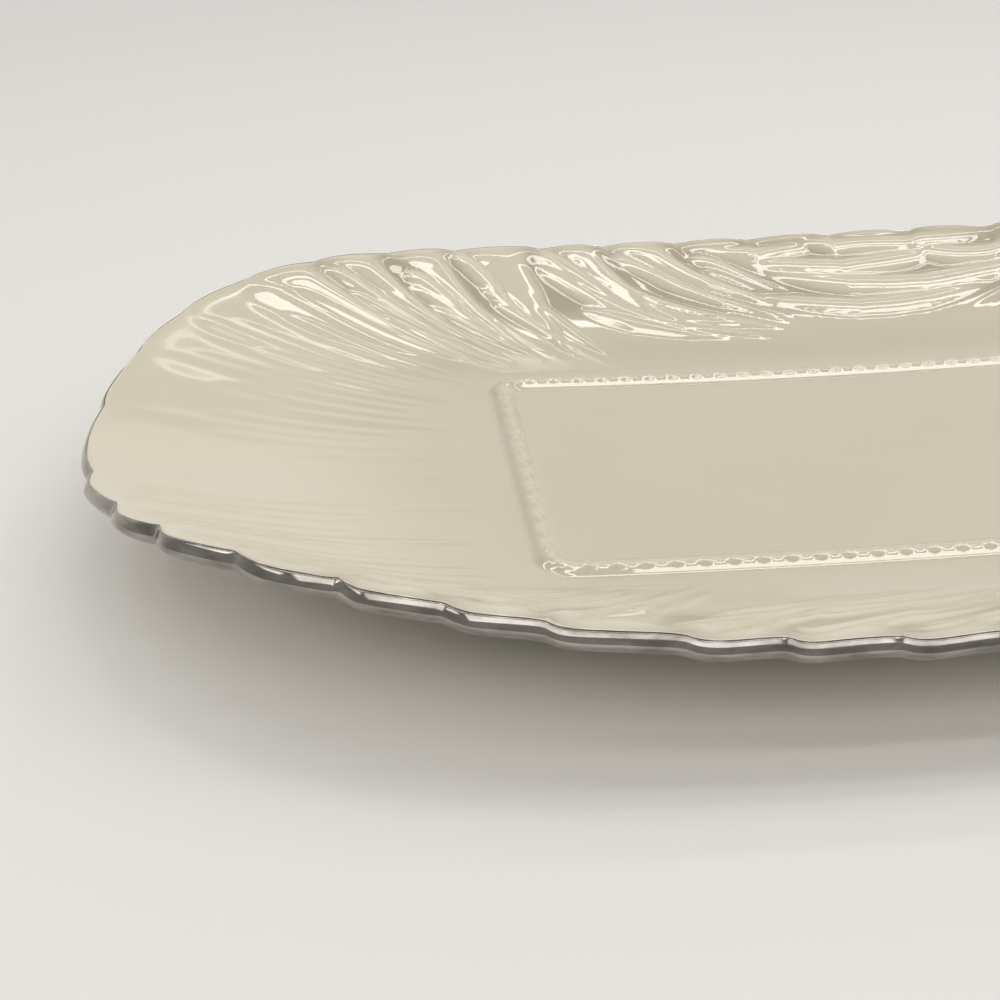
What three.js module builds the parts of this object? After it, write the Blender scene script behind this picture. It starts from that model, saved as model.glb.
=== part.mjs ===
// Butter tray of glazed china: an oblong dish with a flat well, a beaded ridge that keeps the butter in its
// place, a wide fluted flare with a scalloped lip, a metal band round the lip and a foot ring underneath.
// Millimetres, +Z up, +X along the tray. The origin is under the tray's centre, on the plane it stands on.
import * as THREE from "three";

// Lip: the tray's outline, seen from above, and its height above the table
const trayLength = 242; // over the metal band
const trayWidth = 115.3; // over the metal band
const endFullness = 3.35; // exponent along the length, 2 being an ellipse
const sideFullness = 2.12; // exponent across, 2 being an ellipse
const lipHeightTip = 17.2; // in the middle of each end
const lipHeightSide = 16.6; // in the middle of each long side
const lipHeightShoulder = 22.1; // between the two, where the lip rises
const lipThickness = 2;

// Metal band round the lip
const bandDepth = 0.7;
const bandSeat = 0.3; // clearance between the band and the lip

// Scallops and flutes of the flare
const lobesPerQuarter = 12.5; // a lobe in the middle of each side, a crease on each tip
const scallopDepth = 0.7; // how far a lobe of the lip stands out
const fluteDepth = 0.7; // how high a flute stands on the flare
const fluteSweep = 34; // how far a flute runs along the lip on its way down to the well
const fluteStart = 0.2; // the flutes begin here, between the well at 0 and the lip at 1
const fluteFull = 0.6; // and have their whole depth from here on
const endFluteShare = 0.45; // depth that is left of a flute in the middle of an end
const flareCurve = 1.35; // exponent of the flare's rise, 1 being a straight slope

// Beaded ridge round the well
const ridgeLength = 129.2; // from crest to crest
const ridgeWidth = 50.9; // from crest to crest
const ridgeCorner = 3.5; // radius of the crest's corners
const ridgeSpread = 3.2; // width where the ridge meets the floor
const ridgeHeight = 0.7; // between two beads
const beadHeight = 0.35; // of a bead above that
const beadPitch = 3.5;

// Well floor and foot ring
const floorThickness = 3.6;
const floorMargin = 2; // flat floor between the ridge and the flare
const footHeight = 3;
const footTopWidth = 5;
const footStandWidth = 2.6; // of the face that stands on the table
const footInset = 4; // from the edge of the well to the outside of the foot
const footCorner = 8; // radius of the corners, in the middle of the ring

// Fineness of the facets
const facetsPerLobe = 4;
const facetsPerBead = 3;
const facetsPerFootQuarter = 20;
const roundSteps = 4; // facets across the band's face and across the ridge
const flareRings = [0, 0.12, 0.26, 0.42, 0.58, 0.73, 0.87, 1];
const undersideRings = [1, 0.72, 0.4, 0.15, 0];
const floorRing = 0.75; // the floor's middle facets end here, inside the ridge: 0 is its centre, 1 its edge

// Heights and half sizes that follow
const floorTop = footHeight + floorThickness;
const crestHalfLength = trayLength / 2 - bandDepth - bandSeat - scallopDepth;
const crestHalfWidth = trayWidth / 2 - bandDepth - bandSeat - scallopDepth;
const wellHalfLength = ridgeLength / 2 + ridgeSpread / 2 + floorMargin;
const wellHalfWidth = ridgeWidth / 2 + ridgeSpread / 2 + floorMargin;
const wellCorner = ridgeCorner + ridgeSpread / 2 + floorMargin;
const footHalfLength = wellHalfLength - footInset - footTopWidth / 2;
const footHalfWidth = wellHalfWidth - footInset - footTopWidth / 2;
const facetsPerQuarter = Math.round(lobesPerQuarter * facetsPerLobe);

const lerp = THREE.MathUtils.lerp;
const smoothstep = THREE.MathUtils.smoothstep;

// A quarter of the lip's crest, from the middle of a long side, at 0, to the tip of an end, at 1.
class LipQuarter extends THREE.Curve {
  getPoint(share) {
    const along = Math.sin((share * Math.PI) / 2);
    const fill = Math.pow(along, endFullness);
    const across = Math.pow(1 - fill, 1 / sideFullness);
    const turn = 2 * fill - 1; // -1 at the side, 0 at the shoulder, 1 at the tip
    const tilt = ((lipHeightTip - lipHeightSide) / 2) * turn;
    const dip = (lipHeightShoulder - (lipHeightTip + lipHeightSide) / 2) * turn * turn;
    return new THREE.Vector3(
      crestHalfLength * along,
      crestHalfWidth * across,
      lipHeightShoulder + tilt - dip,
    );
  }
}

// The same quarter of an oblong with rounded corners, lying flat.
function oblongQuarter(halfLength, halfWidth, corner) {
  const path = new THREE.Path();
  path.moveTo(0, halfWidth);
  path.lineTo(halfLength - corner, halfWidth);
  path.absarc(halfLength - corner, halfWidth - corner, corner, Math.PI / 2, 0, true);
  path.lineTo(halfLength, 0);
  return path;
}

const lipQuarter = new LipQuarter();
lipQuarter.arcLengthDivisions = 2000;
const lipQuarterLength = lipQuarter.getLength();
const wellQuarter = oblongQuarter(wellHalfLength, wellHalfWidth, wellCorner);

// Unit vector in plan, square to a quarter curve and pointing away from the tray's centre.
function outwardFrom(tangent) {
  return new THREE.Vector3(-tangent.y, tangent.x, 0).normalize();
}

// How far a place on the flare stands up between two creases: 0 in a crease, 1 on a lobe's middle.
function lobe(share, rise) {
  const sweep = (fluteSweep / lipQuarterLength) * (1 - share) * (1 - rise);
  return Math.abs(Math.cos(Math.PI * lobesPerQuarter * (share + sweep)));
}

// The lip's crest with its scallops, moved outwards and upwards by the given amounts.
function lipPoint(share, out, up) {
  const point = lipQuarter.getPointAt(share);
  const outward = outwardFrom(lipQuarter.getTangentAt(share));
  point.addScaledVector(outward, out + scallopDepth * lobe(share, 1));
  point.z += up;
  return point;
}

// A point of the flare: rise is 0 at the edge of the well and 1 at the lip.
function flarePoint(share, rise) {
  const foot = wellQuarter.getPoint(share);
  const lip = lipPoint(share, 0, 0);
  return new THREE.Vector3(
    lerp(foot.x, lip.x, rise),
    lerp(foot.y, lip.y, rise),
    lerp(floorTop, lip.z, Math.pow(rise, flareCurve)),
  );
}

// How far the flare's upper side lies below the tops of its flutes.
function fluteDrop(share, rise) {
  const depth = fluteDepth * lerp(1, endFluteShare, share) * smoothstep(rise, fluteStart, fluteFull);
  return depth * (1 - lobe(share, rise));
}

// A point of the flare's upper side, with its flutes.
function flutedPoint(share, rise) {
  const point = flarePoint(share, rise);
  point.z -= fluteDrop(share, rise);
  return point;
}

// A point of the flare's plain underside.
function undersidePoint(share, rise) {
  const point = flarePoint(share, rise);
  point.z -= lerp(floorThickness, lipThickness, rise) + fluteDepth * rise;
  return point;
}

// A closed body whose rings run round the tray. A ring gives its point in one quarter for a share from 0 to 1,
// and the other three quarters mirror it. The blank is turned on a lathe, then its rings take their places.
function ringBody(rings, spokesPerQuarter) {
  const spokes = 4 * spokesPerQuarter;
  const blank = rings.map((ring, step) => new THREE.Vector2(1, step));
  const geometry = new THREE.LatheGeometry(blank, spokes);
  const position = geometry.getAttribute("position");
  for (let spoke = 0; spoke <= spokes; spoke++) {
    const turned = spoke % spokes;
    const quarter = Math.floor(turned / spokesPerQuarter);
    const part = (turned % spokesPerQuarter) / spokesPerQuarter;
    const share = quarter % 2 === 0 ? part : 1 - part;
    const sideX = quarter < 2 ? -1 : 1;
    const sideY = quarter === 0 || quarter === 3 ? 1 : -1;
    rings.forEach((ring, step) => {
      const point = ring(share);
      position.setXYZ(spoke * rings.length + step, sideX * point.x, sideY * point.y, point.z);
    });
  }
  geometry.computeVertexNormals();
  return geometry;
}

// Rings of a body that follows an oblong: each corner of its section is [out, up] at a share of the quarter.
function oblongRings(path, section) {
  return section.map((corner) => (share) => {
    const [out, up] = corner(share);
    const point = path.getPoint(share);
    const outward = outwardFrom(path.getTangent(share));
    return new THREE.Vector3(point.x + out * outward.x, point.y + out * outward.y, up);
  });
}

function trayBody() {
  const onAxis = (height) => () => new THREE.Vector3(0, 0, height);
  const under = undersideRings.map((rise) => (share) => undersidePoint(share, rise)).reverse();
  const upper = flareRings.map((rise) => (share) => flutedPoint(share, rise)).reverse();
  const floor = (share) => {
    const edge = wellQuarter.getPoint(share);
    return new THREE.Vector3(floorRing * edge.x, floorRing * edge.y, floorTop);
  };
  const rings = [onAxis(footHeight), ...under, ...upper, floor, onAxis(floorTop)];
  return ringBody(rings, facetsPerQuarter);
}

function platinumBand() {
  const rings = [];
  for (let step = 0; step <= roundSteps; step++) {
    const angle = Math.PI * (step / roundSteps - 0.5);
    rings.push((share) => {
      const top = -fluteDrop(share, 1);
      const bottom = -lipThickness - fluteDepth;
      const out = bandSeat + bandDepth * Math.cos(angle);
      return lipPoint(share, out, lerp(bottom, top, (1 + Math.sin(angle)) / 2));
    });
  }
  return ringBody([...rings, rings[0]], facetsPerQuarter);
}

function beadedRidge() {
  const path = oblongQuarter(ridgeLength / 2, ridgeWidth / 2, ridgeCorner);
  const beads = Math.round(path.getLength() / beadPitch);
  const section = [];
  for (let step = 0; step <= roundSteps; step++) {
    const angle = (Math.PI * step) / roundSteps;
    section.push((share) => {
      const bead = beadHeight * Math.abs(Math.cos(Math.PI * beads * share));
      return [(ridgeSpread / 2) * Math.cos(angle), floorTop + (ridgeHeight + bead) * Math.sin(angle)];
    });
  }
  return ringBody(oblongRings(path, [...section, section[0]]), beads * facetsPerBead);
}

function footRing() {
  const path = oblongQuarter(footHalfLength, footHalfWidth, footCorner);
  const section = [
    () => [-footStandWidth / 2, 0],
    () => [footStandWidth / 2, 0],
    () => [footTopWidth / 2, footHeight],
    () => [-footTopWidth / 2, footHeight],
  ];
  return ringBody(oblongRings(path, [...section, section[0]]), facetsPerFootQuarter);
}

function finish(color, roughness, metalness) {
  return new THREE.MeshStandardMaterial({ color, roughness, metalness });
}

const ivoryGlaze = finish(0xddd6c2, 0.12, 0);
const ridgeGlaze = finish(0xe0dac8, 0.12, 0);
const bareChina = finish(0xe6e0d2, 0.7, 0);
const platinum = finish(0xc9c6c2, 0.08, 1);

function node(name, geometry, material) {
  const mesh = new THREE.Mesh(geometry, material);
  mesh.name = name;
  return mesh;
}

const butterTray = new THREE.Group();
butterTray.add(
  node("tray_body", trayBody(), ivoryGlaze),
  node("beaded_ridge", beadedRidge(), ridgeGlaze),
  node("platinum_band", platinumBand(), platinum),
  node("foot_ring", footRing(), bareChina),
);

export default butterTray;
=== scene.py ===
"""Looks of a butter tray of ivory china: feathered flare, beaded ridge, platinum lip and foot ring."""
import logging
import math
from dataclasses import dataclass
from enum import Enum
from typing import ClassVar

import bmesh
import bpy
import numpy as np
from mathutils import Matrix, Vector


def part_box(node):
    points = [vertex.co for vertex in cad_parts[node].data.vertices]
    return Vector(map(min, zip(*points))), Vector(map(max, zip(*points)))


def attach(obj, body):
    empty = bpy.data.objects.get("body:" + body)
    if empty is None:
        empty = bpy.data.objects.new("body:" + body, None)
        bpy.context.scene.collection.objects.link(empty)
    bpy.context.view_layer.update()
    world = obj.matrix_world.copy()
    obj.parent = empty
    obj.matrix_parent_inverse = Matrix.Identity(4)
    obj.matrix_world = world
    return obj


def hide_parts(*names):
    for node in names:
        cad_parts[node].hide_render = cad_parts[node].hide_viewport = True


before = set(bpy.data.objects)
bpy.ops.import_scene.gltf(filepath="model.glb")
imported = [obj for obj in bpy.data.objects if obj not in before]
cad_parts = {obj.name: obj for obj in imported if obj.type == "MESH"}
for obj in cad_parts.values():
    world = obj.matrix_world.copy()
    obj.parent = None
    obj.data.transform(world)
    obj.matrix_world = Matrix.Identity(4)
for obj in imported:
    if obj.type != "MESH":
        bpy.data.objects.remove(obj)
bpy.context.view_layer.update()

BODY = "root"
MM = 0.001
WELD = 1e-6  # metres between points that become one
TINY = 1e-6  # keeps a root off 0
NARROWEST = 1e-4  # keeps a divisor off 0
EVERYWHERE = -1.0  # start of a tier that shows all along the lip
SCATTER = (12.9898, 78.233, 43758.5453)  # rate, shift and gain that make a sine jump about
LAMP_TINT = (1.0, 0.98, 0.95)

Array = np.ndarray
Zone = tuple[float, float]
Spot = tuple[float, float, float]
Colour = tuple[float, float, float, float]
Link = "Sock | float | tuple[float, ...]"
log = logging.getLogger("butter_tray")


class Node(Enum):
    """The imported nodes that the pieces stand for."""

    BODY = "tray_body"
    RIDGE = "beaded_ridge"
    BAND = "platinum_band"
    FOOT = "foot_ring"


class Slot(Enum):
    """The record's material slots."""

    IVORY = "ivory_glaze"
    RIDGE = "ridge_glaze"
    PLATINUM = "platinum"
    BARE = "bare_china"


class Layer(Enum):
    """Values that are stored on a mesh's points."""

    # Where the glaze pools in the hollows, darker also as painted shade
    POOLING_AND_SHADE = "pooling"
    # Thinner glaze and painted light, which make the glaze paler
    THINNED_AND_LIT = "thinned"
    SATIN = "satin"


class Trait(Enum):
    """What differs from feather to feather of a tier; each has its own series of values."""

    WIDTH = 0.0
    HEIGHT = 0.3
    HEAD = 0.5
    TAIL = 0.7


def smooth(low: float, high: float, value: Array) -> Array:
    """Eases from 0 at low to 1 at high.

    Args:
        low: Where the result leaves 0.
        high: Where the result reaches 1.
        value: Numbers to ease.

    Returns:
        The eased numbers, between 0 and 1.
    """
    part = np.clip((value - low) / (high - low), 0.0, 1.0)
    return part * part * (3.0 - 2.0 * part)


def mix(start: Array, end: Array, share: Array) -> Array:
    """Goes from start to end in a straight line as share goes from 0 to 1."""
    return start + (end - start) * share


def scatter(index: Array, seed: float) -> Array:
    """Gives each whole number its own fixed value between 0 and 1.

    Args:
        index: Whole numbers.
        seed: Makes one series of values differ from another.

    Returns:
        One value for each index.
    """
    rate, shift, gain = SCATTER
    wave = np.sin(index * rate + seed * shift) * gain
    return wave - np.floor(wave)


def linear(red: int, green: int, blue: int) -> Colour:
    """Turns a screen colour into the scene's linear one.

    Args:
        red: Red, 0 to 255.
        green: Green, 0 to 255.
        blue: Blue, 0 to 255.

    Returns:
        The linear colour with full alpha.
    """
    parts = [channel / 255.0 for channel in (red, green, blue)]
    made = [p / 12.92 if p <= 0.04045 else ((p + 0.055) / 1.055) ** 2.4 for p in parts]
    return (made[0], made[1], made[2], 1.0)


class Sock:
    """A shader socket that takes part in sums."""

    def __init__(self, shade: "Shade", socket: bpy.types.NodeSocket) -> None:
        """Keeps the socket and the material that it belongs to."""
        self.shade = shade
        self.socket = socket

    def _maths(self, operation: str, first: Link, second: Link) -> "Sock":
        """Adds a Math node.

        Args:
            operation: The node's operation.
            first: Its first value or link.
            second: Its second value or link.

        Returns:
            The node's result.
        """
        return self.shade.node("ShaderNodeMath", {"operation": operation}, {0: first, 1: second})

    def __add__(self, other: Link) -> "Sock":
        """Adds a value."""
        return self._maths("ADD", self, other)

    def __radd__(self, other: Link) -> "Sock":
        """Adds to a value."""
        return self._maths("ADD", other, self)

    def __sub__(self, other: Link) -> "Sock":
        """Takes a value away."""
        return self._maths("SUBTRACT", self, other)

    def __rsub__(self, other: Link) -> "Sock":
        """Is taken away from a value."""
        return self._maths("SUBTRACT", other, self)

    def __mul__(self, other: Link) -> "Sock":
        """Multiplies by a value."""
        return self._maths("MULTIPLY", self, other)

    def __rmul__(self, other: Link) -> "Sock":
        """Multiplies a value."""
        return self._maths("MULTIPLY", other, self)


class Shade:
    """The nodes of a material or a world, built by expressions."""

    def __init__(self, owner: bpy.types.Material | bpy.types.World) -> None:
        """Empties the nodes.

        Args:
            owner: The material or the world that the nodes belong to.
        """
        self.owner = owner
        self.owner.use_nodes = True
        self.tree = self.owner.node_tree
        self.tree.nodes.clear()

    @classmethod
    def of_material(cls, name: str) -> "Shade":
        """Starts a new material of the given name."""
        return cls(bpy.data.materials.new(name))

    def node(self, kind: str, settings: dict[str, object], inputs: dict[int | str, Link],
             output: int | str = 0) -> Sock:
        """Adds any node that gives a result.

        Args:
            kind: The node's type.
            settings: Its own settings, which are made first.
            inputs: A value or link for each named or numbered socket.
            output: The socket that is given back.

        Returns:
            That output socket.
        """
        made = self.tree.nodes.new(kind)
        for key, value in settings.items():
            setattr(made, key, value)
        for key, value in inputs.items():
            if isinstance(value, Sock):
                self.tree.links.new(value.socket, made.inputs[key])
            else:
                made.inputs[key].default_value = value
        return Sock(self, made.outputs[output])

    def place(self) -> Sock:
        """Gives the place on the piece, in Object coordinates."""
        return self.node("ShaderNodeTexCoord", {}, {}, "Object")

    def axis(self, vector: Sock, index: int) -> Sock:
        """Gives one part of a vector: 0 for X, 1 for Y and 2 for Z."""
        return self.node("ShaderNodeSeparateXYZ", {}, {0: vector}, index)

    def noise(self, scale: float, detail: float = 3.0, stretch: Spot = (1.0, 1.0, 1.0)) -> Sock:
        """Gives a noise in Object coordinates.

        Args:
            scale: Features per metre.
            detail: Octaves.
            stretch: Scale along each axis.

        Returns:
            The noise, about 0.5.
        """
        spot = self.node("ShaderNodeMapping", {}, {"Vector": self.place(), "Scale": stretch})
        return self.node("ShaderNodeTexNoise", {}, {"Vector": spot, "Scale": scale, "Detail": detail})

    def stored(self, layer: Layer) -> Sock:
        """Gives a value that is stored on the mesh's points."""
        return self.node("ShaderNodeAttribute", {"attribute_name": layer.value}, {}, "Fac")

    def blend(self, factor: Link, first: Link, second: Link) -> Sock:
        """Mixes two colours.

        Args:
            factor: Share of the second colour.
            first: A colour.
            second: Another colour.

        Returns:
            The mixed colour.
        """
        return self.node("ShaderNodeMix", {"data_type": "RGBA"}, {0: factor, 6: first, 7: second}, 2)

    def ramp(self, value: Sock, low: float, high: float) -> Sock:
        """Stretches the part of a value between low and high to 0 and 1, and cuts off the rest.

        Args:
            value: The value.
            low: What becomes 0.
            high: What becomes 1.

        Returns:
            The stretched value.
        """
        return self.node("ShaderNodeMapRange", {}, {"Value": value, "From Min": low, "From Max": high})

    def bump(self, height: Sock, distance: float, strength: float) -> Sock:
        """Turns a height into a normal.

        Args:
            height: The height, about 0 to 1.
            distance: Height of 1, in metres.
            strength: Share of the effect.

        Returns:
            The bumped normal.
        """
        inputs = {"Height": height, "Distance": distance, "Strength": strength}
        return self.node("ShaderNodeBump", {}, inputs)

    def finish(self, shader: Sock) -> bpy.types.Material | bpy.types.World:
        """Ends the nodes in the given shader.

        Args:
            shader: The shader that covers the surface.

        Returns:
            The finished material or world.
        """
        surface = isinstance(self.owner, bpy.types.Material)
        end = self.tree.nodes.new("ShaderNodeOutputMaterial" if surface else "ShaderNodeOutputWorld")
        self.tree.links.new(shader.socket, end.inputs["Surface"])
        return self.owner


@dataclass(frozen=True)
class Glaze:
    """Ivory glaze over china: glassy, darker and a little warmer where it pools in the creases, which
    paints their shade too; paler on the flare, as thinner glaze and painted light.
    """

    name: str
    tint: Colour = linear(201, 194, 173)
    # Darker glaze in the creases and at the ridge's foot: glaze that pools there, and painted shade
    pooled_and_shade: Colour = linear(158, 149, 127)
    # Paler glaze up the flare and on the ridge's crest: thinner glaze and painted light
    thin_and_lit: Colour = linear(216, 209, 189)
    pool_and_shade_share: float = 0.65
    thin_and_lit_share: float = 1.0
    index: float = 1.6
    specular: float = 0.8
    gloss_roughness: float = 0.02
    smear_roughness: float = 0.03
    satin_roughness: float = 0.26
    smear_stretch: Spot = (1.0, 2.2, 1.0)
    smear_zone: Zone = (0.35, 0.75)
    smear_detail: float = 5.0
    cloud_size: float = 35 * MM
    cloud_share: float = 0.3
    cloud_zone: Zone = (0.3, 0.7)
    cloud_detail: float = 4.0
    ripple_size: float = 9 * MM
    ripple_height: float = 0.012 * MM
    ripple_detail: float = 2.0

    def make(self) -> bpy.types.Material:
        """Builds the material.

        Returns:
            The finished material.
        """
        shade = Shade.of_material(self.name)
        clouds = shade.noise(1 / self.cloud_size, self.cloud_detail)
        cloud = shade.ramp(clouds, *self.cloud_zone)
        colour = shade.blend(cloud * self.cloud_share, self.tint, self.thin_and_lit)
        # Painted light makes the flare and the ridge's crest paler; painted shade darkens the hollows and
        # the ridge's foot
        colour = shade.blend(shade.stored(Layer.THINNED_AND_LIT) * self.thin_and_lit_share, colour, self.thin_and_lit)
        colour = shade.blend(shade.stored(Layer.POOLING_AND_SHADE) * self.pool_and_shade_share, colour, self.pooled_and_shade)
        ripples = shade.noise(1 / self.ripple_size, self.ripple_detail)
        ripple = shade.bump(ripples, self.ripple_height, 1.0)
        smears = shade.noise(1 / self.cloud_size, self.smear_detail, self.smear_stretch)
        smear = shade.ramp(smears, *self.smear_zone)
        gloss = self.gloss_roughness + self.smear_roughness * smear
        shader = shade.node("ShaderNodeBsdfPrincipled", {}, {
            "Base Color": colour,
            "Roughness": gloss + self.satin_roughness * shade.stored(Layer.SATIN),
            "IOR": self.index,
            "Specular IOR Level": self.specular,
            "Normal": ripple,
        })
        return shade.finish(shader)


@dataclass(frozen=True)
class Platinum:
    """Fired platinum: a mirror with fine brush marks round the lip."""

    name: str
    # Darker than bare platinum: a painted dark reflection of the surroundings
    tint: Colour = linear(176, 171, 165)
    worn: Colour = linear(118, 112, 106)
    brush_size: float = 4 * MM
    brush_stretch: Spot = (1.0, 1.0, 3.0)
    brush_zone: Zone = (0.35, 0.8)
    brush_detail: float = 4.0
    brush_roughness: float = 0.14
    mirror_roughness: float = 0.05

    def make(self) -> bpy.types.Material:
        """Builds the material.

        Returns:
            The finished material.
        """
        shade = Shade.of_material(self.name)
        strokes = shade.noise(1 / self.brush_size, self.brush_detail, self.brush_stretch)
        brush = shade.ramp(strokes, *self.brush_zone)
        shader = shade.node("ShaderNodeBsdfPrincipled", {}, {
            "Base Color": shade.blend(brush, self.tint, self.worn),
            "Roughness": self.mirror_roughness + self.brush_roughness * brush,
            "Metallic": 1.0,
        })
        return shade.finish(shader)


@dataclass(frozen=True)
class BareChina:
    """Unglazed china of the standing ring, with a fine tooth and a little grey from use."""

    name: str
    tint: Colour = linear(226, 219, 203)
    rubbed: Colour = linear(188, 180, 166)
    roughness: float = 0.6
    tooth_size: float = 0.35 * MM
    tooth_height: float = 0.03 * MM
    tooth_strength: float = 0.8
    tooth_roughness: float = 0.25
    wear_scale: float = 120.0
    wear_zone: Zone = (0.5, 0.75)
    wear_detail: float = 6.0

    def make(self) -> bpy.types.Material:
        """Builds the material.

        Returns:
            The finished material.
        """
        shade = Shade.of_material(self.name)
        wear = shade.ramp(shade.noise(self.wear_scale, self.wear_detail), *self.wear_zone)
        tooth = shade.noise(1 / self.tooth_size)
        shader = shade.node("ShaderNodeBsdfPrincipled", {}, {
            "Base Color": shade.blend(wear, self.tint, self.rubbed),
            "Roughness": self.roughness + self.tooth_roughness * tooth,
            "Normal": shade.bump(tooth, self.tooth_height, self.tooth_strength),
        })
        return shade.finish(shader)


@dataclass(frozen=True)
class PlainFloor:
    """Pale matt studio floor, which fades into the backdrop away from the tray."""

    name: str = "studio_floor"
    tint: Colour = linear(233, 232, 230)
    fade: Zone = (0.32, 0.6)

    def make(self) -> bpy.types.Material:
        """Builds the material.

        Returns:
            The finished material.
        """
        shade = Shade.of_material(self.name)
        length = {"operation": "LENGTH"}
        away = shade.node("ShaderNodeVectorMath", length, {0: shade.place()}, "Value")
        matt = shade.node("ShaderNodeBsdfDiffuse", {}, {"Color": self.tint})
        clear = shade.node("ShaderNodeBsdfTransparent", {}, {})
        faded = shade.ramp(away, *self.fade)
        return shade.finish(shade.node("ShaderNodeMixShader", {}, {0: faded, 1: matt, 2: clear}))


class Sheet:
    """A grid of quads that is wrapped round the tray and welded into a closed skin."""

    def __init__(self, around: int, across: int) -> None:
        """Makes the flat grid.

        Args:
            around: Quads round the tray.
            across: Quads along the section.
        """
        self.around = around
        self.bm = bmesh.new()
        bmesh.ops.create_grid(self.bm, x_segments=around, y_segments=across, size=0.5)
        flat = np.array([vert.co[:2] for vert in self.bm.verts])
        span = (flat - flat.min(axis=0)) / (flat.max(axis=0) - flat.min(axis=0))
        self.turn = np.rint(span[:, 0] * around).astype(int)
        self.step = np.rint(span[:, 1] * across).astype(int)

    def shape(self, points: Array, stored: dict[Layer, Array]) -> None:
        """Moves the grid's corners and stores values on them.

        Args:
            points: A place for each corner.
            stored: A value for each corner, by the layer that it is stored in.
        """
        floats = self.bm.verts.layers.float
        layers = [(floats.new(layer.value), values) for layer, values in stored.items()]
        for index, vert in enumerate(self.bm.verts):
            vert.co = points[index]
            for layer, values in layers:
                vert[layer] = values[index]

    def close(self, name: str, material: bpy.types.Material) -> bpy.types.Object:
        """Welds the seam and the poles, and makes the object.

        Args:
            name: The object's name.
            material: Its finish.

        Returns:
            The finished object, at the origin.
        """
        bmesh.ops.remove_doubles(self.bm, verts=self.bm.verts, dist=WELD)
        bmesh.ops.dissolve_degenerate(self.bm, edges=self.bm.edges, dist=WELD)
        bmesh.ops.recalc_face_normals(self.bm, faces=self.bm.faces)
        for face in self.bm.faces:
            face.smooth = True
        mesh = bpy.data.meshes.new(name)
        self.bm.to_mesh(mesh)
        self.bm.free()
        mesh.materials.append(material)
        piece = bpy.data.objects.new(name, mesh)
        bpy.context.collection.objects.link(piece)
        return piece


@dataclass(frozen=True)
class Place:
    """Places round the tray.

    The share goes from 0 at the middle of a long side to 1 at the tip of an end, and the sides are the
    signs that X and Y have there.
    """

    share: Array
    side_x: Array
    side_y: Array

    @classmethod
    def unfold(cls, turn: Array, around: int, crowding: float = 0.0) -> "Place":
        """Finds which quarter of the tray each turn lies in, and where in it.

        Args:
            turn: Steps round the tray, from the middle of the far long side towards the -X end.
            around: Steps in a whole turn.
            crowding: How much closer than even the steps lie at the middle of a long side.

        Returns:
            The places.
        """
        spoke = turn % around
        quarter_steps = around // 4
        quarter = spoke // quarter_steps
        part = (spoke % quarter_steps) / quarter_steps
        even = np.where(quarter % 2 == 0, part, 1.0 - part)
        share = even * (1.0 - crowding * (1.0 - even))
        side_x = np.where(quarter < 2, -1.0, 1.0)
        side_y = np.where((quarter == 0) | (quarter == 3), 1.0, -1.0)
        return cls(share, side_x, side_y)

    def points(self, x: Array, y: Array, z: Array) -> Array:
        """Puts places of the worked-out quarter into their own quarters."""
        return np.stack([x * self.side_x, y * self.side_y, z], axis=1)


@dataclass(frozen=True)
class Oblong:
    """A rectangle with rounded corners in plan, of which one quarter is worked out."""

    half_length: float
    half_width: float
    corner: float

    def length(self) -> float:
        """Gives the length of a quarter."""
        return self.half_length + self.half_width + (math.pi / 2 - 2) * self.corner

    def grown(self, grow: float) -> "Oblong":
        """Gives the outline that lies further out all round."""
        return Oblong(self.half_length + grow, self.half_width + grow, self.corner + grow)

    def point(self, share: Array, out: Array) -> tuple[Array, Array]:
        """Finds places along the quarter, moved outwards.

        Args:
            share: 0 at the middle of the long side, 1 at the middle of the short side.
            out: How far each place is moved outwards.

        Returns:
            X and Y.
        """
        straight = self.half_length - self.corner
        angle = np.clip((share * self.length() - straight) / self.corner, 0.0, math.pi / 2)
        past = np.maximum(share * self.length() - straight - math.pi / 2 * self.corner, 0.0)
        x = np.minimum(share * self.length(), straight) + (self.corner + out) * np.sin(angle)
        y = self.half_width - self.corner + (self.corner + out) * np.cos(angle) - past
        return x, y


@dataclass(frozen=True)
class Tier:
    """A row of feathers that lie side by side along the flare.

    The offset and the half width are shares of the space between two feathers. The head and the tail are
    places on the flare, 0 at the well and 1 at the lip. The slant is added to the pull of all feathers, the
    start is where along the lip the tier begins to show, and the end share is what is left of its height at
    the tray's ends. The seed makes its feathers differ from those of another tier.
    """

    offset: float
    head: float
    tail: float
    half_width: float
    height: float
    head_length: float
    slant: float
    start: float
    end_share: float
    seed: float

    def vary(self, index: Array, trait: Trait) -> Array:
        """Gives each feather of the tier its own fixed value between 0 and 1 for a trait."""
        return scatter(index, self.seed + trait.value)


@dataclass(frozen=True)
class LevelLeaf:
    """A leaf that lies along the lip in the middle of a long side.

    Its place is 0 at the well and 1 at the lip, and its smile is how far its ends turn up to the lip.
    """

    place: float
    half_length: float
    aside: float
    half_width: float
    height: float
    smile: float
    bluntness: float = 3.0
    dome: float = 1.3

    def height_at(self, along: Array, rise: Array) -> Array:
        """Finds the leaf's height.

        Args:
            along: Distance along the lip from the middle of the long side, with a sign.
            rise: 0 at the well's edge, 1 at the lip.

        Returns:
            The height, 0 away from the leaf.
        """
        far = (along - self.aside) / self.half_length
        off = (rise - self.place - self.smile * far ** 2) / self.half_width
        inside = np.clip(1.0 - np.abs(far) ** self.bluntness - off ** 2, 0.0, 1.0)
        return self.height * inside ** self.dome


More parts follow.
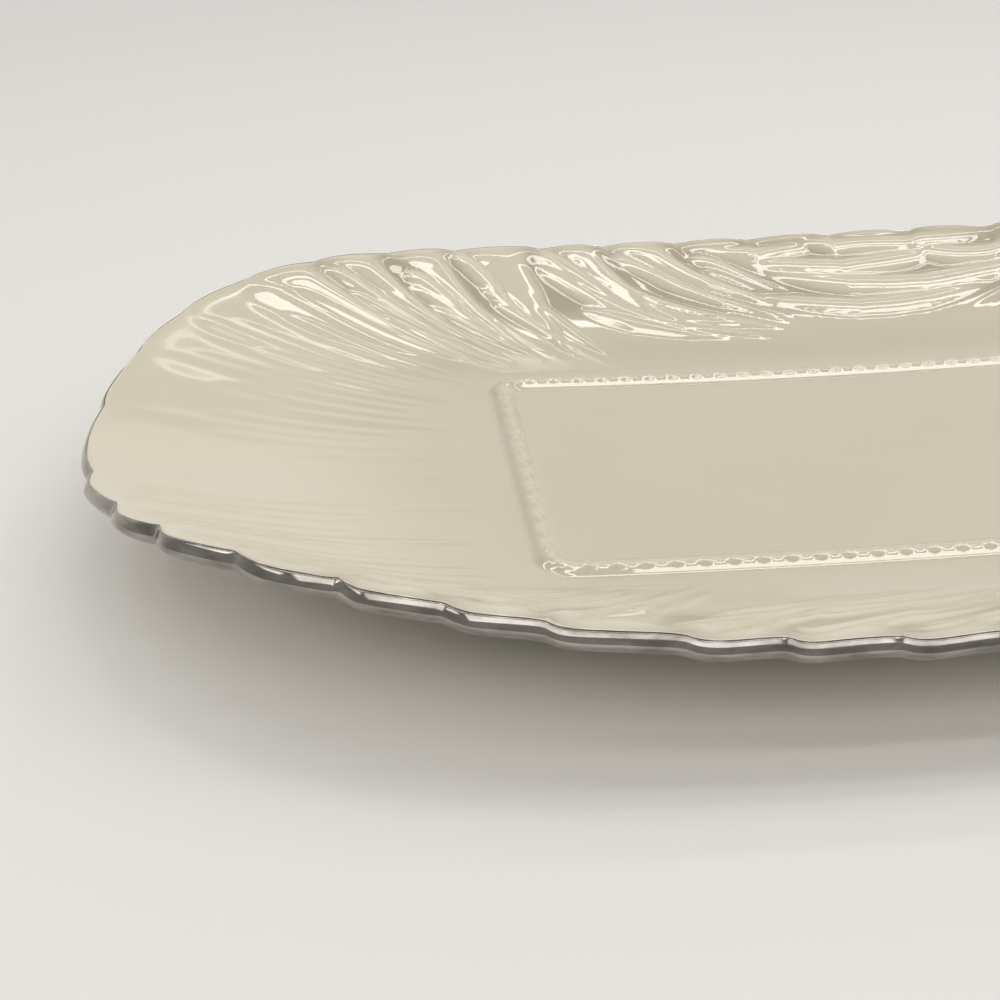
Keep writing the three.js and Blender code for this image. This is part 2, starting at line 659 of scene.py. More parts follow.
@dataclass(frozen=True)
class Feathering:
    """The flare's relief: tiers of long feathers down to the well, and leaves that lie along the lip."""

    # How the feathers run
    feathers: float = 12.5
    side_pull: float = 40 * MM
    end_pull: float = 7 * MM
    pull_curve: float = 1.3
    side_zone: Zone = (25 * MM, 75 * MM)
    slant_start: Zone = (15 * MM, 50 * MM)
    slant_end: Zone = (66 * MM, 106 * MM)
    middle_ease: float = 3 * MM
    sway: float = 0.07
    sway_rate: float = 1.9
    cross_sway: float = 0.7
    cross_sway_rate: float = 3.3

    # Their shape, and how much it differs from one to the next
    skew: float = 0.16
    dome: float = 1.25
    taper: float = 0.6
    lip_spread: float = 1.8
    short_zone: Zone = (0.0, 70 * MM)
    shortening: float = 0.2
    width_spread: Zone = (0.9, 1.1)
    height_spread: Zone = (0.85, 1.1)
    head_spread: Zone = (-0.09, 0.09)
    tail_spread: Zone = (-0.05, 0.08)

    # Where they meet and where they fade
    blending: float = 5.0
    fade: float = 25 * MM
    clear_zone: Zone = (14 * MM, 34 * MM)
    kept_zone: Zone = (0.92, 1.0)
    lip_zone: Zone = (0.85, 1.0)
    lip_share: float = 0.3
    end_zone: Zone = (86 * MM, 114 * MM)
    tip_zone: Zone = (122 * MM, 147 * MM)
    tip_share: float = 0.35

    # Hollows between them, where the glaze pools and shade is painted into its colour
    crease_share: float = 0.5
    crease_zone: Zone = (0.3, 0.6)
    crease_curve: float = 1.5

    # Lobes and notches of the lip
    lobe_lean: float = 0.35
    lobe_curve: float = 1.8
    lobe_tilt: float = 0.8 * MM
    tilt_zone: Zone = (0.7, 1.0)
    tilt_edge: int = 6
    notch_spread: Zone = (0.7, 1.0)
    notch_seed: float = 5.0
    shoulder_start: Zone = (66 * MM, 90 * MM)
    shoulder_end: Zone = (128 * MM, 147 * MM)
    deeper: float = 0.65
    shallower: float = 0.5

    level_leaves: tuple[LevelLeaf, ...] = (
        LevelLeaf(place=0.89, half_length=19 * MM, aside=3 * MM,
                  half_width=0.08, height=0.75 * MM, smile=0.08),
        LevelLeaf(place=0.74, half_length=19 * MM, aside=-6 * MM,
                  half_width=0.085, height=0.85 * MM, smile=0.12),
        LevelLeaf(place=0.6, half_length=27 * MM, aside=4 * MM,
                  half_width=0.09, height=0.85 * MM, smile=0.17),
        LevelLeaf(place=0.46, half_length=25 * MM, aside=-3 * MM,
                  half_width=0.08, height=0.7 * MM, smile=0.15),
        LevelLeaf(place=0.78, half_length=12 * MM, aside=17 * MM,
                  half_width=0.08, height=0.8 * MM, smile=0.1),
        LevelLeaf(place=0.87, half_length=10 * MM, aside=-20 * MM,
                  half_width=0.07, height=0.7 * MM, smile=0.05),
    )
    tiers: tuple[Tier, ...] = (
        Tier(offset=0.0, head=1.0, tail=0.12, half_width=0.3, height=0.95 * MM,
             head_length=0.0, slant=-22 * MM, start=EVERYWHERE, end_share=0.25, seed=1.0),
        Tier(offset=0.47, head=0.95, tail=0.22, half_width=0.25, height=0.82 * MM,
             head_length=0.08, slant=-14 * MM, start=EVERYWHERE, end_share=0.34, seed=2.0),
        Tier(offset=0.25, head=0.86, tail=0.16, half_width=0.2, height=0.72 * MM,
             head_length=0.08, slant=-8 * MM, start=12 * MM, end_share=0.42, seed=3.0),
        Tier(offset=0.72, head=0.8, tail=0.12, half_width=0.2, height=0.72 * MM,
             head_length=0.08, slant=-6 * MM, start=12 * MM, end_share=0.42, seed=4.0),
        Tier(offset=0.95, head=0.6, tail=0.08, half_width=0.2, height=0.72 * MM,
             head_length=0.1, slant=-2 * MM, start=30 * MM, end_share=0.42, seed=5.0),
    )

    def phase(self, along: Array, rise: Array, quarter: float, slant: float = 0.0) -> Array:
        """Counts feathers from the middle of the long side to the stroke through each place.

        Args:
            along: Distance along the lip from a long side's middle.
            rise: 0 at the well's edge, 1 at the lip.
            quarter: Length of a quarter of the lip.
            slant: What is added to the pull between the middle of the long side and the end.

        Returns:
            The count, whole on the middle of a feather of the first tier.
        """
        beside = 1.0 - smooth(*self.side_zone, along)
        pull = self.side_pull * beside + self.end_pull * (1.0 - along / quarter)
        pull = pull + slant * (smooth(*self.slant_start, along) - smooth(*self.slant_end, along))
        eased = np.hypot(along, self.middle_ease) - self.middle_ease
        count = self.feathers * (eased + pull * (1.0 - rise) ** self.pull_curve) / quarter
        waves = np.sin(self.sway_rate * count) + self.cross_sway * np.sin(self.cross_sway_rate * count)
        return count + self.sway * waves

    def feather(self, tier: Tier, count: Array, index: Array, rise: Array, shorter: Array) -> Array:
        """Finds the height of one feather of a tier at each place.

        Args:
            tier: The tier.
            count: The stroke's count at each place.
            index: Which feather of the tier is looked at.
            rise: 0 at the well's edge, 1 at the lip.
            shorter: How far the tails are drawn up.

        Returns:
            The height, 0 away from the feather.
        """
        loose = 1.0 if tier.head_length > 0.0 else 0.0
        half_width = tier.half_width * mix(*self.width_spread, tier.vary(index, Trait.WIDTH))
        height = tier.height * mix(*self.height_spread, tier.vary(index, Trait.HEIGHT))
        head = tier.head + loose * mix(*self.head_spread, tier.vary(index, Trait.HEAD))
        tail = tier.tail + mix(*self.tail_spread, tier.vary(index, Trait.TAIL)) + shorter
        part = np.clip((head - rise) / (head - tail), 0.0, 1.0)
        opening = 1.0 - loose * np.exp(-part / max(tier.head_length, NARROWEST))
        at_lip = mix(1.0, self.lip_spread, (1.0 - loose) * smooth(*self.lip_zone, rise))
        spread = half_width * at_lip * (opening + TINY) ** 0.5 * (1.0 - part) ** 0.5 + NARROWEST
        aside = (count - tier.offset - index) / spread
        skewed = aside / np.where(aside > 0.0, 1.0 + self.skew, 1.0 - self.skew)
        dome = np.clip(1.0 - skewed ** 2, 0.0, 1.0) ** self.dome
        return height * dome * opening * (1.0 - part) ** self.taper

    def relief(self, along: Array, rise: Array, quarter: float, side: Array) -> Array:
        """Finds how high the feathers stand at each place.

        Args:
            along: Distance along the lip from a long side's middle.
            rise: 0 at the well's edge, 1 at the lip.
            quarter: Length of a quarter of the lip.
            side: 1 to the one side of the middle of each long side, -1 to the other.

        Returns:
            The height.
        """
        at_end = smooth(*self.end_zone, along)
        at_tip = mix(1.0, self.tip_share, smooth(*self.tip_zone, along))
        shorter = self.shortening * (1.0 - smooth(*self.short_zone, along))
        together = sum((leaf.height_at(along * side, rise) / self.top()) ** self.blending
                       for leaf in self.level_leaves)
        kept = mix(smooth(*self.clear_zone, along), 1.0, smooth(*self.kept_zone, rise))
        for tier in self.tiers:
            count = self.phase(along, rise, quarter, tier.slant)
            nearest = np.rint(count - tier.offset)
            begun = smooth(tier.start, tier.start + self.fade, along)
            shown = kept * begun * mix(1.0, tier.end_share, at_end)
            for neighbour in (-1.0, 0.0, 1.0):
                height = self.feather(tier, count, nearest + neighbour, rise, shorter) * shown
                together = together + (height / self.top()) ** self.blending
        return together ** (1.0 / self.blending) * self.top() * at_tip * self.near_lip(rise)

    def crease(self, relief: Array, along: Array, rise: Array) -> Array:
        """Finds how deep in a hollow between the feathers each place lies.

        Args:
            relief: How high the feathers stand there.
            along: Distance along the lip from a long side's middle.
            rise: 0 at the well's edge, 1 at the lip.

        Returns:
            0 on the feathers and at the tray's ends, 1 in a hollow.
        """
        low = np.clip(1.0 - relief / (self.crease_share * self.top()), 0.0, 1.0)
        hollow = low * smooth(*self.crease_zone, rise) * (1.0 - smooth(*self.end_zone, along))
        return hollow ** self.crease_curve

    def near_lip(self, rise: Array) -> Array:
        """Gives the share of the relief's height that is left close to the lip."""
        return mix(1.0, self.lip_share, smooth(*self.lip_zone, rise))

    def top(self) -> float:
        """Gives the height of the feathers of the first tier."""
        return self.tiers[0].height

    def tilt(self, along: Array, rise: Array, quarter: float) -> Array:
        """Finds how far the lobes of a long side stand up on the one edge and hang on the other.

        Args:
            along: Distance along the lip from a long side's middle.
            rise: 0 at the well's edge, 1 at the lip.
            quarter: Length of a quarter of the lip.

        Returns:
            The height that is added.
        """
        count = self.phase(along, np.ones_like(along), quarter)
        aside = count - np.rint(count)
        saw = aside * (1.0 - (2.0 * aside) ** self.tilt_edge)
        kept = (1.0 - smooth(*self.shoulder_start, along)) * smooth(*self.tilt_zone, rise)
        return -self.lobe_tilt * saw * kept

    def scallop(self, along: Array, quarter: float, swirl: Array) -> Array:
        """Finds how far the lip's notches cut in, as a share of a plain notch's depth.

        Args:
            along: Distance along the lip from a long side's middle.
            quarter: Length of a quarter of the lip.
            swirl: 1 in the two quarters whose shoulders are deeply scalloped, -1 in the other two.

        Returns:
            0 at the tip of a lobe, about 1 in a notch.
        """
        count = self.phase(along, np.ones_like(along), quarter)
        nearest = np.rint(count)
        aside = (count - nearest) * 2.0 - self.lobe_lean
        lobe = np.abs(aside / np.where(aside > 0.0, 1.0 - self.lobe_lean, 1.0 + self.lobe_lean))
        shoulder = smooth(*self.shoulder_start, along) - smooth(*self.shoulder_end, along)
        depth = 1.0 + shoulder * np.where(swirl > 0.0, self.deeper, -self.shallower)
        notch = mix(*self.notch_spread, scatter(np.floor(count), self.notch_seed))
        return notch * depth * lobe ** self.lobe_curve


@dataclass(frozen=True)
class TrayForm:
    """The tray's outlines and heights, in metres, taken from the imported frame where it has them."""

    crest_half_length: float
    crest_half_width: float
    floor_top: float
    foot_height: float
    ridge: Oblong

    # Lip
    end_fullness: float = 3.35
    side_fullness: float = 2.12
    lip_height_tip: float = 17.2 * MM
    lip_height_side: float = 16.6 * MM
    lip_height_shoulder: float = 22.1 * MM
    lip_thickness: float = 2.7 * MM
    lip_depth: float = 0.93 * MM
    lip_bevel: float = 1.5
    scallop_depth: float = 0.78 * MM
    samples: int = 4000

    # Flare
    feathering: Feathering = Feathering()
    flare_curve: float = 1.35
    roll_from: float = 0.86
    base_zone: Zone = (0.0, 0.6)

    # Well floor and ridge
    ridge_spread: float = 3.2 * MM
    ridge_corner: float = 3.5 * MM
    floor_margin: float = 2 * MM
    end_lift: float = 1.7 * MM
    lift_fade: int = 4

    @classmethod
    def from_frame(cls) -> "TrayForm":
        """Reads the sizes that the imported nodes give.

        Returns:
            The form that fits the frame.
        """
        body_low, body_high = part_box(Node.BODY.value)
        ridge_low, ridge_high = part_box(Node.RIDGE.value)
        spread = cls.ridge_spread
        ridge = Oblong(ridge_high[0] - spread / 2, ridge_high[1] - spread / 2, cls.ridge_corner)
        return cls(
            crest_half_length=body_high[0],
            crest_half_width=body_high[1],
            floor_top=ridge_low[2],
            foot_height=body_low[2],
            ridge=ridge,
        )

    def well(self) -> Oblong:
        """Gives the outline where the flat floor ends and the flare begins."""
        return self.ridge.grown(self.ridge_spread / 2 + self.floor_margin)

    def lip_table(self) -> tuple[Array, Array, Array, Array]:
        """Works out a quarter of the lip's crest.

        Returns:
            Distance along the crest, X, Y and height, from a long side's middle to an end's tip.
        """
        along = np.sin(np.linspace(0.0, math.pi / 2, self.samples))
        fill = along ** self.end_fullness
        x = self.crest_half_length * along
        y = self.crest_half_width * (1.0 - fill) ** (1.0 / self.side_fullness)
        turn = 2.0 * fill - 1.0
        middle = (self.lip_height_tip + self.lip_height_side) / 2
        tilt = (self.lip_height_tip - self.lip_height_side) / 2 * turn
        z = self.lip_height_shoulder + tilt - (self.lip_height_shoulder - middle) * turn ** 2
        steps = np.hypot(np.diff(x), np.diff(y))
        return np.concatenate([[0.0], np.cumsum(steps)]), x, y, z

    def crest(self, place: Place, out: Array) -> tuple[Array, Array, Array, Array]:
        """Finds places on the scalloped crest of the lip, moved outwards.

        Args:
            place: The places round the tray.
            out: How far each place is moved outwards.

        Returns:
            X, Y, height, and the distance along the lip.
        """
        table, x_table, y_table, z_table = self.lip_table()
        along = place.share * table[-1]
        x_slope = np.gradient(x_table, table)
        y_slope = np.gradient(y_table, table)
        normal_x = -np.interp(along, table, y_slope)
        normal_y = np.interp(along, table, x_slope)
        size = np.hypot(normal_x, normal_y)
        swirl = place.side_x * place.side_y
        grow = out - self.scallop_depth * self.feathering.scallop(along, table[-1], swirl)
        x = np.interp(along, table, x_table) + grow * normal_x / size
        y = np.interp(along, table, y_table) + grow * normal_y / size
        return x, y, np.interp(along, table, z_table), along

    def section(self, angle: Array) -> tuple[Array, Array]:
        """Finds places on the lip's section, which is bevelled above and below.

        Args:
            angle: -90 degrees below the lip, 0 at its edge, 90 degrees above it.

        Returns:
            How far out and up each place is, as shares of the lip's depth and half its thickness.
        """
        out = np.clip(np.cos(angle), 0.0, 1.0) ** self.lip_bevel
        up = np.sign(np.sin(angle)) * np.abs(np.sin(angle)) ** self.lip_bevel
        return out, up

    def lift(self, x: Array) -> Array:
        """Gives how far the well floor bends up towards the tray's ends."""
        return self.end_lift * (x / self.ridge.half_length) ** 2

    def lift_slope(self, x: Array) -> Array:
        """Gives how steeply the well floor bends up at a distance from the tray's middle."""
        return 2.0 * self.end_lift * x / self.ridge.half_length ** 2

    def climb(self, rise: Array) -> Array:
        """Gives the flare's height as a share of the lip's: a cove, a slope and a lip that rolls level.

        Args:
            rise: 0 at the well's edge, 1 at the lip.

        Returns:
            0 at the floor, 1 at the lip.
        """
        roll = np.clip((rise - self.roll_from) / (1.0 - self.roll_from), 0.0, 1.0)
        loss = self.flare_curve * (1.0 - self.roll_from) / 2
        return (rise ** self.flare_curve - loss * roll ** 2) / (1.0 - loss)

    def flare(self, place: Place, rise: Array, fluted: Array,
              wall: Array) -> tuple[Array, Array, Array, Array]:
        """Finds places on the flare.

        Args:
            place: The places round the tray.
            rise: 0 at the well's edge, 1 at the lip.
            fluted: 1 where the relief counts, 0 on the plain underside.
            wall: How far each place lies below the upper side.

        Returns:
            X, Y, height, and how deep in a crease the place lies.
        """
        well_x, well_y = self.well().point(place.share, np.zeros_like(place.share))
        lip_x, lip_y, lip_z, along = self.crest(place, np.zeros_like(place.share))
        quarter = self.lip_table()[0][-1]
        relief = self.feathering.relief(along, rise, quarter, place.side_x * place.side_y)
        tilt = self.feathering.tilt(along, rise, quarter)
        x = mix(well_x, lip_x, rise)
        y = mix(well_y, lip_y, rise)
        base = self.feathering.top() * smooth(*self.base_zone, rise) * self.feathering.near_lip(rise)
        climb = self.climb(rise)
        onward = self.lift_slope(well_x) * (x - well_x) * (1.0 - rise) ** self.lift_fade
        bend = self.lift(well_x) * (1.0 - climb) + onward
        z = mix(self.floor_top, lip_z, climb) - base + fluted * (relief + tilt + bend) - wall
        return x, y, z, fluted * self.feathering.crease(relief, along, rise)


@dataclass
class Piece:
    """A piece of the tray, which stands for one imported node."""

    node: ClassVar[Node]
    slot: ClassVar[Slot]
    form: TrayForm

    def build(self) -> bpy.types.Object:
        """Makes the piece, each kind in its own way."""
        raise NotImplementedError

    def dress(self) -> None:
        """Builds the piece and puts it in its node's place on the body."""
        piece = self.build()
        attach(piece, BODY)
        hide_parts(self.node.value)
        triangles = sum(len(face.vertices) - 2 for face in piece.data.polygons)
        log.info("%s: %d triangles", piece.name, triangles)


@dataclass
class ChinaBody(Piece):
    """The china dish: underside, lip, feathered flare and well floor in one skin."""

    node = Node.BODY
    slot = Slot.IVORY

    # Rings and spokes of the skin
    around: int = 1240
    crowding: float = 0.3
    under_floor_rings: int = 2
    under_flare_rings: int = 5
    lip_rings: int = 6
    flare_rings: int = 60
    flare_crowding: float = 1.15
    floor_rings: int = 6

    # Where the underside follows the relief, and where the glaze changes: paler up the flare, as thinner
    # glaze and painted light
    follow_zone: Zone = (0.6, 1.0)
    thin_and_lit_zone: Zone = (0.12, 0.6)
    satin_zone: Zone = (100 * MM, 118 * MM)
    satin_ends: float = 0.5
    well_zone: Zone = (0.0, 0.3)

    def rings(self) -> tuple[Array, Array, Array, Array]:
        """Lists the skin's rings from the middle of the underside to the middle of the well.

        Returns:
            For each ring its scale about the tray's centre, its place on the flare, 1 if it is on the
            upper side, and its angle round the lip, -90 degrees below it and 90 degrees above.
        """
        under_floor = np.linspace(0.0, 1.0, self.under_floor_rings, endpoint=False)
        under_flare = np.linspace(0.0, 1.0, self.under_flare_rings, endpoint=False)
        lip = np.linspace(-math.pi / 2, math.pi / 2, self.lip_rings + 1)
        flare = 1.0 - np.linspace(0.0, 1.0, self.flare_rings + 1)[1:] ** self.flare_crowding
        floor = 1.0 - np.linspace(0.0, 1.0, self.floor_rings + 1)[1:]
        scale = np.concatenate([under_floor, np.ones(under_flare.size + lip.size + flare.size), floor])
        rise = np.concatenate([0 * under_floor, under_flare, 0 * lip + 1, flare, 0 * floor])
        lip_upper = (1 + self.form.section(lip)[1]) / 2
        upper = np.concatenate([0 * under_floor, 0 * under_flare, lip_upper,
                                0 * flare + 1, 0 * floor + 1])
        angle = np.concatenate([0 * under_floor - math.pi / 2, 0 * under_flare - math.pi / 2, lip,
                                0 * flare + math.pi / 2, 0 * floor + math.pi / 2])
        return scale, rise, upper, angle

    def build(self) -> bpy.types.Object:
        """Makes the piece.

        Returns:
            The finished object.
        """
        scale, rise, upper, angle = self.rings()
        sheet = Sheet(self.around, scale.size - 1)
        place = Place.unfold(sheet.turn, sheet.around, self.crowding)
        step = sheet.step
        form = self.form
        thickness = form.floor_top - form.foot_height
        wall = mix(thickness, form.lip_thickness, rise[step]) * (1.0 - upper[step])
        follows = np.maximum(upper[step], smooth(*self.follow_zone, rise[step]))
        x, y, z, crease = form.flare(place, rise[step], follows, wall)
        edge_x, edge_y, _, _ = form.crest(place, form.lip_depth * form.section(angle[step])[0])
        crest_x, crest_y, _, along = form.crest(place, np.zeros_like(place.share))
        inner_x = (x + edge_x - crest_x) * scale[step]
        inner_y = (y + edge_y - crest_y) * scale[step]
        on_floor = upper[step] * (scale[step] < 1.0)
        z = z + on_floor * (form.lift(inner_x) - form.lift(x))
        points = place.points(inner_x, inner_y, z)
        # Painted light: the glaze turns paler up the flare; the crease depth darkens the hollows as painted
        # shade
        thinned = smooth(*self.thin_and_lit_zone, rise[step]) * upper[step]
        at_ends = self.satin_ends * smooth(*self.satin_zone, along)
        satin = mix(1.0, at_ends, smooth(*self.well_zone, rise[step])) * upper[step]
        stored = {Layer.POOLING_AND_SHADE: crease, Layer.THINNED_AND_LIT: thinned, Layer.SATIN: satin}
        sheet.shape(points, stored)
        return sheet.close("china_body", Glaze("ivory_glaze").make())


@dataclass
class Ridge(Piece):
    """The ridge round the well, with its row of beads."""

    node = Node.RIDGE
    slot = Slot.RIDGE
    reach: float = 2.2 * MM
    height: float = 0.82 * MM
    bead_height: float = 0.24 * MM
    bead_pitch: float = 3.5 * MM
    bead_width: float = 1.9 * MM
    bead_fill: float = 0.86
    bead_dome: float = 1.3
    bank_curve: int = 2
    # Painted shade: a darker band along the ridge's outer foot towards the tray's ends
    foot_painted_shade: float = 0.46
    foot_shade_place: float = 0.58
    foot_shade_width: float = 0.24
    foot_shade_zone: Zone = (0.66, 0.76)
    # Painted light: the crest and the inner flank are painted paler
    crest_painted_light: float = 0.55
    crest_light_zone: Zone = (0.45, 0.15)
    bury: float = 0.01 * MM
    steps_per_bead: int = 14
    across: int = 20

    def build(self) -> bpy.types.Object:
        """Makes the piece.

        Returns:
            The finished object.
        """
        form = self.form
        half = self.reach
        beads = round(form.ridge.length() / self.bead_pitch)
        sheet = Sheet(4 * beads * self.steps_per_bead, self.across + 2)
        place = Place.unfold(sheet.turn, sheet.around)
        top = np.minimum(sheet.step, self.across)
        below = sheet.step == self.across + 1
        out = mix(half, -half, top / self.across)
        out = np.where(below, 0.0, np.where(sheet.step == self.across + 2, half, out))
        count = beads * place.share
        along_bead = 2.0 * (count - np.rint(count)) / self.bead_fill
        across_bead = 2.0 * out / self.bead_width
        bead = np.clip(1.0 - along_bead ** 2 - across_bead ** 2, 0.0, 1.0) ** self.bead_dome
        bank = np.clip(1.0 - (out / half) ** 2, 0.0, 1.0) ** self.bank_curve
        raised = self.height * bank + self.bead_height * bead
        z = form.floor_top - self.bury + np.where(below, -self.bury, raised)
        x, y = form.ridge.point(place.share, out)
        z = z + form.lift(x)
        # Painted shade along the outer foot and painted light on the crest
        foot = np.exp(-((out / half - self.foot_shade_place) / self.foot_shade_width) ** 2)
        pooled_and_shade = self.foot_painted_shade * foot * smooth(*self.foot_shade_zone, place.share)
        thinned = self.crest_painted_light * smooth(*self.crest_light_zone, out / half) * bank
        sheet.shape(place.points(x, y, z), {Layer.POOLING_AND_SHADE: pooled_and_shade, Layer.THINNED_AND_LIT: thinned})
        return sheet.close("beaded_ridge_glazed", Glaze("ridge_glaze").make())


@dataclass
class LipBand(Piece):
    """The platinum line on the edge of the lip."""

    node = Node.BAND
    slot = Slot.PLATINUM
    film: float = 0.07 * MM
    buried: float = 0.3 * MM
    lowest: float = -78.0
    highest: float = 75.0
    around: int = 1000
    face_steps: int = 10

    def build(self) -> bpy.types.Object:
        """Makes the piece.

        Returns:
            The finished object.
        """
        form = self.form
        loop = 2 * (self.face_steps + 1)
        sheet = Sheet(self.around, loop)
        place = Place.unfold(sheet.turn, sheet.around)
        step = sheet.step % loop
        outer = step <= self.face_steps
        part = np.where(outer, step, loop - 1 - step) / self.face_steps
        angle = np.radians(mix(self.lowest, self.highest, part))
        grow = np.where(outer, self.film, -self.buried)
        one = np.ones_like(place.share)
        _, _, top_z, _ = form.flare(place, one, one, 0.0 * one)
        _, _, low_z, _ = form.flare(place, one, one, form.lip_thickness * one)
        half = (top_z - low_z) / 2
        out, up = form.section(angle)
        x, y, _, _ = form.crest(place, (form.lip_depth + grow) * out)
        z = low_z + half + (half + grow) * up
        sheet.shape(place.points(x, y, z), {})
        return sheet.close("platinum_lip_line", Platinum("platinum").make())


@dataclass
class Foot(Piece):
    """The foot ring, bare of glaze where it stands."""

    node = Node.FOOT
    slot = Slot.BARE
    stand_width: float = 2.6 * MM
    top_width: float = 5 * MM
    corner: float = 8 * MM
    flank_curve: float = 2.2
    around: int = 400
    flank_steps: int = 6

    def build(self) -> bpy.types.Object:
        """Makes the piece.

        Returns:
            The finished object.
        """
        low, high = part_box(Node.FOOT.value)
        path = Oblong(high[0] - self.top_width / 2, high[1] - self.top_width / 2, self.corner)
        flank = np.linspace(0.0, 1.0, self.flank_steps + 1)
        flank_out = mix(self.stand_width, self.top_width, flank ** self.flank_curve) / 2
        flank_z = mix(low[2], high[2], flank)
        section_out = np.concatenate([flank_out, -flank_out[::-1], flank_out[:1]])
        section_z = np.concatenate([flank_z, flank_z[::-1], flank_z[:1]])
        sheet = Sheet(self.around, section_out.size - 1)
        place = Place.unfold(sheet.turn, sheet.around)
        x, y = path.point(place.share, section_out[sheet.step])
        sheet.shape(place.points(x, y, section_z[sheet.step]), {})
        return sheet.close("bare_foot_ring", BareChina("bare_china").make())


@dataclass(frozen=True)
class Viewpoint:
    """The photograph's camera, found from the lip and the ridge."""

    azimuth: float = -6.46
    elevation: float = 30.01
    roll: float = -1.04
    distance: float = 205.6 * MM
    aim: Spot = (-68.5 * MM, -6.8 * MM, 7.65 * MM)
    focal_px: float = 1600.0
    frame_px: float = 1000.0
    sensor: float = 36.0
    near_clip: float = 0.01

    def build(self) -> bpy.types.Object:
        """Makes the camera and hands it to the scene.

        Returns:
            The camera.
        """
        turn, lift, roll = (math.radians(a) for a in (self.azimuth, self.elevation, self.roll))
        flat = math.cos(lift)
        back = Vector((math.sin(turn) * flat, -math.cos(turn) * flat, math.sin(lift)))
        level = Vector((0.0, 0.0, 1.0)).cross(back).normalized()
        upright = back.cross(level)
        right = level * math.cos(roll) + upright * math.sin(roll)
        up = upright * math.cos(roll) - level * math.sin(roll)
        lens = bpy.data.cameras.new("camera")
        lens.sensor_width = self.sensor
        lens.lens = self.focal_px / self.frame_px * self.sensor
        lens.clip_start = self.near_clip
        camera = bpy.data.objects.new("camera", lens)
        place = Matrix((right, up, back)).transposed().to_4x4()
        place.translation = Vector(self.aim) + back * self.distance
        camera.matrix_world = place
        bpy.context.collection.objects.link(camera)
        bpy.context.scene.camera = camera
        return camera


def hang_lamp(name: str, place: Vector, aim: Vector, size: tuple[float, float],
              brightness: float) -> None:
    """Makes a rectangular lamp.

    Args:
        name: The lamp's name.
        place: Where its middle is.
        aim: What it shines at.
        size: Its length and width.
        brightness: What a mirror would show of it, 1 being white.
    """
    light = bpy.data.lights.new(name, "AREA")
    light.shape = "RECTANGLE"
    light.size, light.size_y = size
    light.energy = brightness * math.pi * size[0] * size[1]
    light.color = LAMP_TINT
    lamp = bpy.data.objects.new(name, light)
    lamp.location = place
    lamp.rotation_euler = (aim - place).to_track_quat("-Z", "Y").to_euler()
    bpy.context.collection.objects.link(lamp)


@dataclass(frozen=True)
class Panel:
    """A soft rectangular lamp."""

    name: str
    place: Spot
    size: tuple[float, float]
    brightness: float
    aim: Spot = (-0.05, 0.0, 0.0)

    def build(self) -> None:
        """Makes the lamp."""
        hang_lamp(self.name, Vector(self.place), Vector(self.aim), self.size, self.brightness)


@dataclass(frozen=True)
class LampFrame:
    """Four strip lamps in a rectangle that hangs level above the tray and shines straight down."""

    name: str
    half_length: float
    half_width: float
    strip: float
    brightness: float
    centre: Spot

    def build(self) -> None:
        """Makes the four strips."""
        down = Vector((0.0, 0.0, -1.0))
        for side, end in ((-1, "low"), (1, "high")):
            across = Vector(self.centre) + Vector((side * self.half_length, 0.0, 0.0))
            along = Vector(self.centre) + Vector((0.0, side * self.half_width, 0.0))
            size_y = (self.strip, 2 * self.half_width)
            size_x = (2 * self.half_length, self.strip)
            hang_lamp(f"{self.name}_x_{end}", across, across + down, size_y, self.brightness)
            hang_lamp(f"{self.name}_y_{end}", along, along + down, size_x, self.brightness)


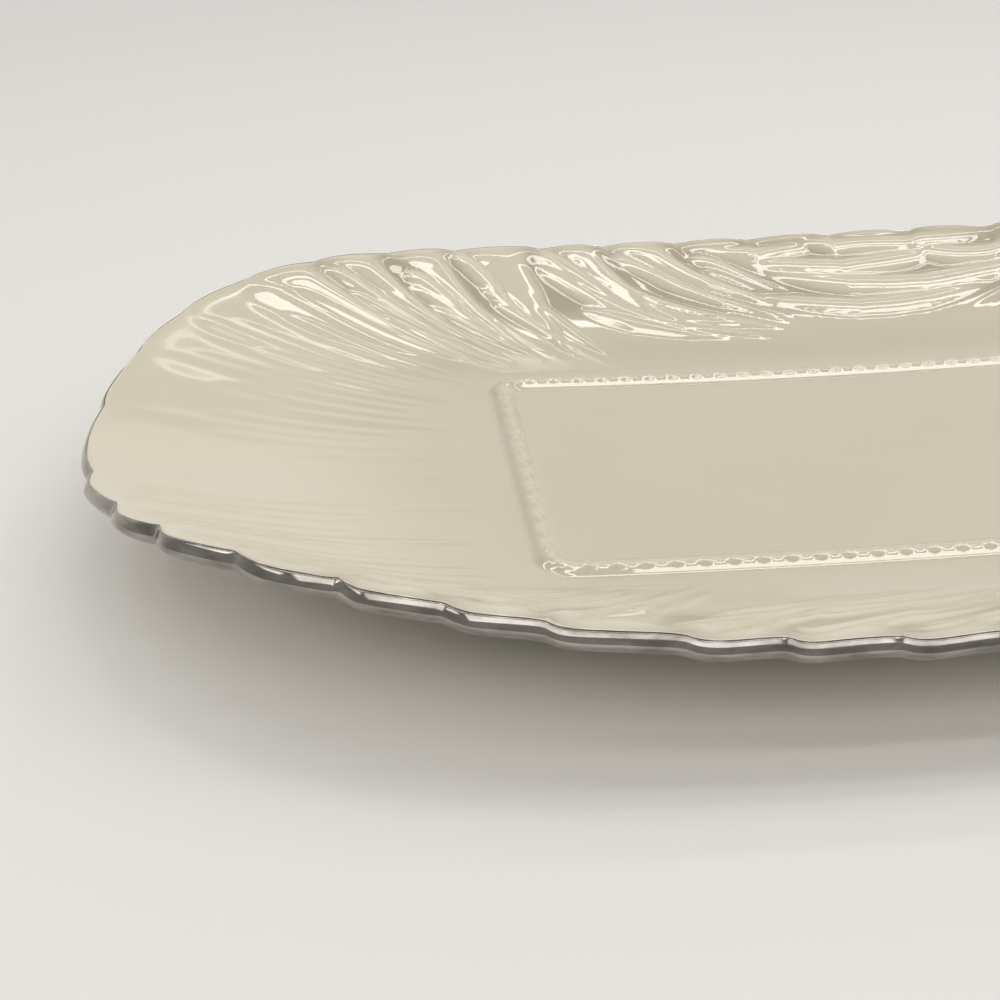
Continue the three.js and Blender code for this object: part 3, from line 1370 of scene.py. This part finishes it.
@dataclass(frozen=True)
class Surround:
    """A pale wall, a darker zone above it, a plain ceiling, and the backdrop that the camera sees."""

    wall: float = 0.36
    back_wall: float = 0.78
    gap: float = 0.25
    ceiling: float = 0.14
    backdrop: float = 0.74
    back_zone: Zone = (0.1, 0.6)
    wall_top: Zone = (32.0, 40.0)
    ceiling_edge: Zone = (56.0, 66.0)
    tint: Colour = (*LAMP_TINT, 1.0)

    def build(self) -> bpy.types.World:
        """Makes the world and hands it to the scene.

        Returns:
            The world.
        """
        shade = Shade(bpy.data.worlds.new("studio"))
        direction = shade.node("ShaderNodeTexCoord", {}, {}, "Generated")
        height = shade.axis(direction, 2)
        behind = shade.ramp(shade.axis(direction, 1), *self.back_zone)
        over_wall = shade.ramp(height, *(math.sin(math.radians(a)) for a in self.wall_top))
        on_ceiling = shade.ramp(height, *(math.sin(math.radians(a)) for a in self.ceiling_edge))
        wall = self.wall - (self.wall - self.back_wall) * behind
        level = wall + (self.gap - wall) * over_wall + (self.ceiling - self.gap) * on_ceiling
        seen = shade.node("ShaderNodeLightPath", {}, {}, "Is Camera Ray")
        level = level + (self.backdrop - level) * seen
        lit = shade.node("ShaderNodeBackground", {}, {"Color": self.tint, "Strength": level})
        world = shade.finish(lit)
        bpy.context.scene.world = world
        return world


@dataclass(frozen=True)
class Studio:
    """Pale floor, surroundings and the lamps."""

    floor_size: float = 1.6
    surround: Surround = Surround()
    frames: tuple[LampFrame, ...] = (
        LampFrame("outer_frame", half_length=0.44, half_width=0.3, strip=0.038,
                  brightness=4.85, centre=(-0.02, 0.06, 0.62)),
        LampFrame("inner_frame", half_length=0.14, half_width=0.1, strip=0.034,
                  brightness=4.85, centre=(-0.16, 0.1, 0.62)),
    )
    panels: tuple[Panel, ...] = (
        Panel("front_panel", place=(-0.05, -0.6, 0.58), size=(1.1, 0.36), brightness=1.7),
        Panel("left_panel", place=(-0.75, -0.2, 0.55), size=(0.5, 0.12), brightness=2.4),
        Panel("right_panel", place=(0.75, 0.0, 0.5), size=(0.3, 0.5), brightness=1.4),
        Panel("far_strip", place=(0.19, 0.083, 0.62), size=(0.42, 0.075), brightness=4.5,
              aim=(0.19, 0.083, 0.0)),
        Panel("near_strip", place=(0.31, -0.033, 0.62), size=(0.42, 0.05), brightness=4.5,
              aim=(0.31, -0.033, 0.0)),
    )

    def build(self) -> None:
        """Makes the floor, the world and the lamps."""
        bm = bmesh.new()
        bmesh.ops.create_grid(bm, x_segments=1, y_segments=1, size=self.floor_size / 2)
        mesh = bpy.data.meshes.new("studio_floor")
        bm.to_mesh(mesh)
        bm.free()
        mesh.materials.append(PlainFloor().make())
        floor = bpy.data.objects.new("studio_floor", mesh)
        bpy.context.collection.objects.link(floor)
        self.surround.build()
        for rig in self.frames + self.panels:
            rig.build()


def main() -> None:
    """Builds the tray and the studio."""
    logging.basicConfig(level=logging.INFO, format="%(name)s: %(message)s")
    bpy.context.scene.view_settings.view_transform = "Standard"
    Viewpoint().build()
    Studio().build()
    form = TrayForm.from_frame()
    for piece in (ChinaBody(form), Ridge(form), LipBand(form), Foot(form)):
        piece.dress()


if __name__ == "__main__":
    main()
